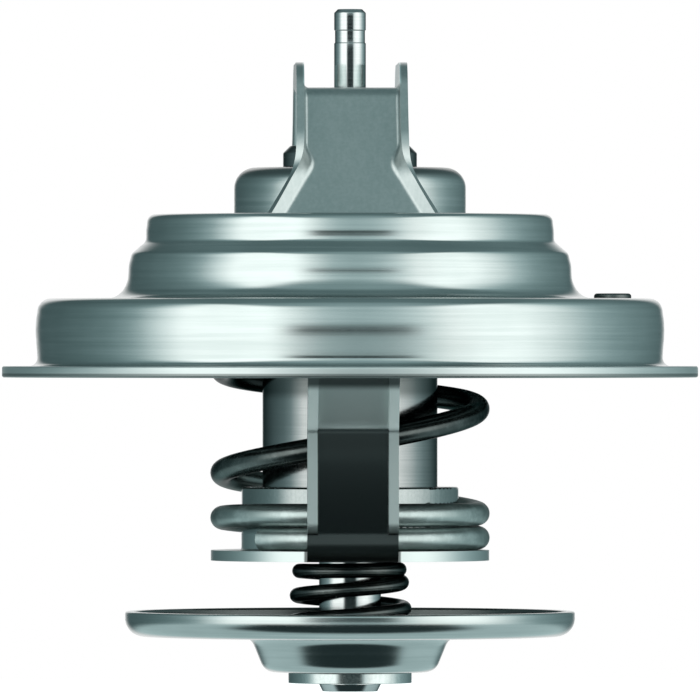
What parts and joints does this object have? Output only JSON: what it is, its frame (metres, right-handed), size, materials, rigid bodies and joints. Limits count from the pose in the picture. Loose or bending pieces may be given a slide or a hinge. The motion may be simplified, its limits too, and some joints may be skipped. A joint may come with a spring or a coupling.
{
  "type": "engine thermostat",
  "caption": "Wax-element coolant valve insert: stepped round seat flange, channel bridge with a fixed piston, spring-loaded main valve inside, and a sprung bypass disc on a rod below.",
  "frame": {"origin": "on the valve's axis, in the plane of the flange's underside", "axes": "+Z along the axis towards the bridge and the piston's free end; the bridge and the two legs of the lower frame lie in the YZ plane; the vent is on +X"},
  "size_m": [0.067, 0.067, 0.0657],
  "materials": {
    "drawn_steel": "drawn stainless sheet, satin, fine lines round the axis",
    "bridge_steel": "pressed stainless sheet, matt satin",
    "frame_steel": "pressed stainless sheet, dull",
    "valve_steel": "drawn stainless sheet, satin",
    "disc_steel": "drawn stainless sheet, pale satin",
    "clip_steel": "stamped spring steel, bright edges",
    "polished_steel": "ground and polished",
    "plated_brass": "turned brass with a grey plating",
    "spring_steel": "dark drawn wire",
    "vent_metal": "small turned piece with a grey plating",
    "black_rubber": "moulded, matt",
    "slip_plastic": "white low-friction plastic",
    "wax": "wax with metal powder, opaque"
  },
  "bodies": {
    "frame": {"seat_flange": "drawn_steel", "vent_eyelet": "vent_metal", "upper_bridge": "bridge_steel", "piston": "polished_steel", "lower_frame": "frame_steel", "main_spring": "spring_steel"},
    "element": {"main_valve": "valve_steel", "valve_seal": "black_rubber", "element_case": "plated_brass", "element_guide": "plated_brass", "backing_ring": "slip_plastic", "wiper_seal": "black_rubber", "rubber_boot": "black_rubber", "wax_charge": "wax", "bypass_rod": "polished_steel", "bypass_spring": "spring_steel", "retaining_clip": "clip_steel"},
    "bypass": {"bypass_disc": "disc_steel"},
    "vent": {"vent_ball": "vent_metal"}
  },
  "joints": [
    {"name": "valve_stroke", "type": "slide", "parent": "frame", "child": "element", "axis": [0, 0, -1], "range_m": [0, 0.008], "stiffness_N_per_m": 8000, "springref_m": -0.0003, "deforming": ["main_spring"]},
    {"name": "bypass_overrun", "type": "slide", "parent": "element", "child": "bypass", "axis": [0, 0, 1], "range_m": [0, 0.003], "stiffness_N_per_m": 2000, "springref_m": -0.0003, "deforming": ["bypass_spring"]},
    {"name": "vent_ball_lift", "type": "slide", "parent": "frame", "child": "vent", "axis": [0, 0, 1], "range_m": [0, 0.0008]}
  ]
}
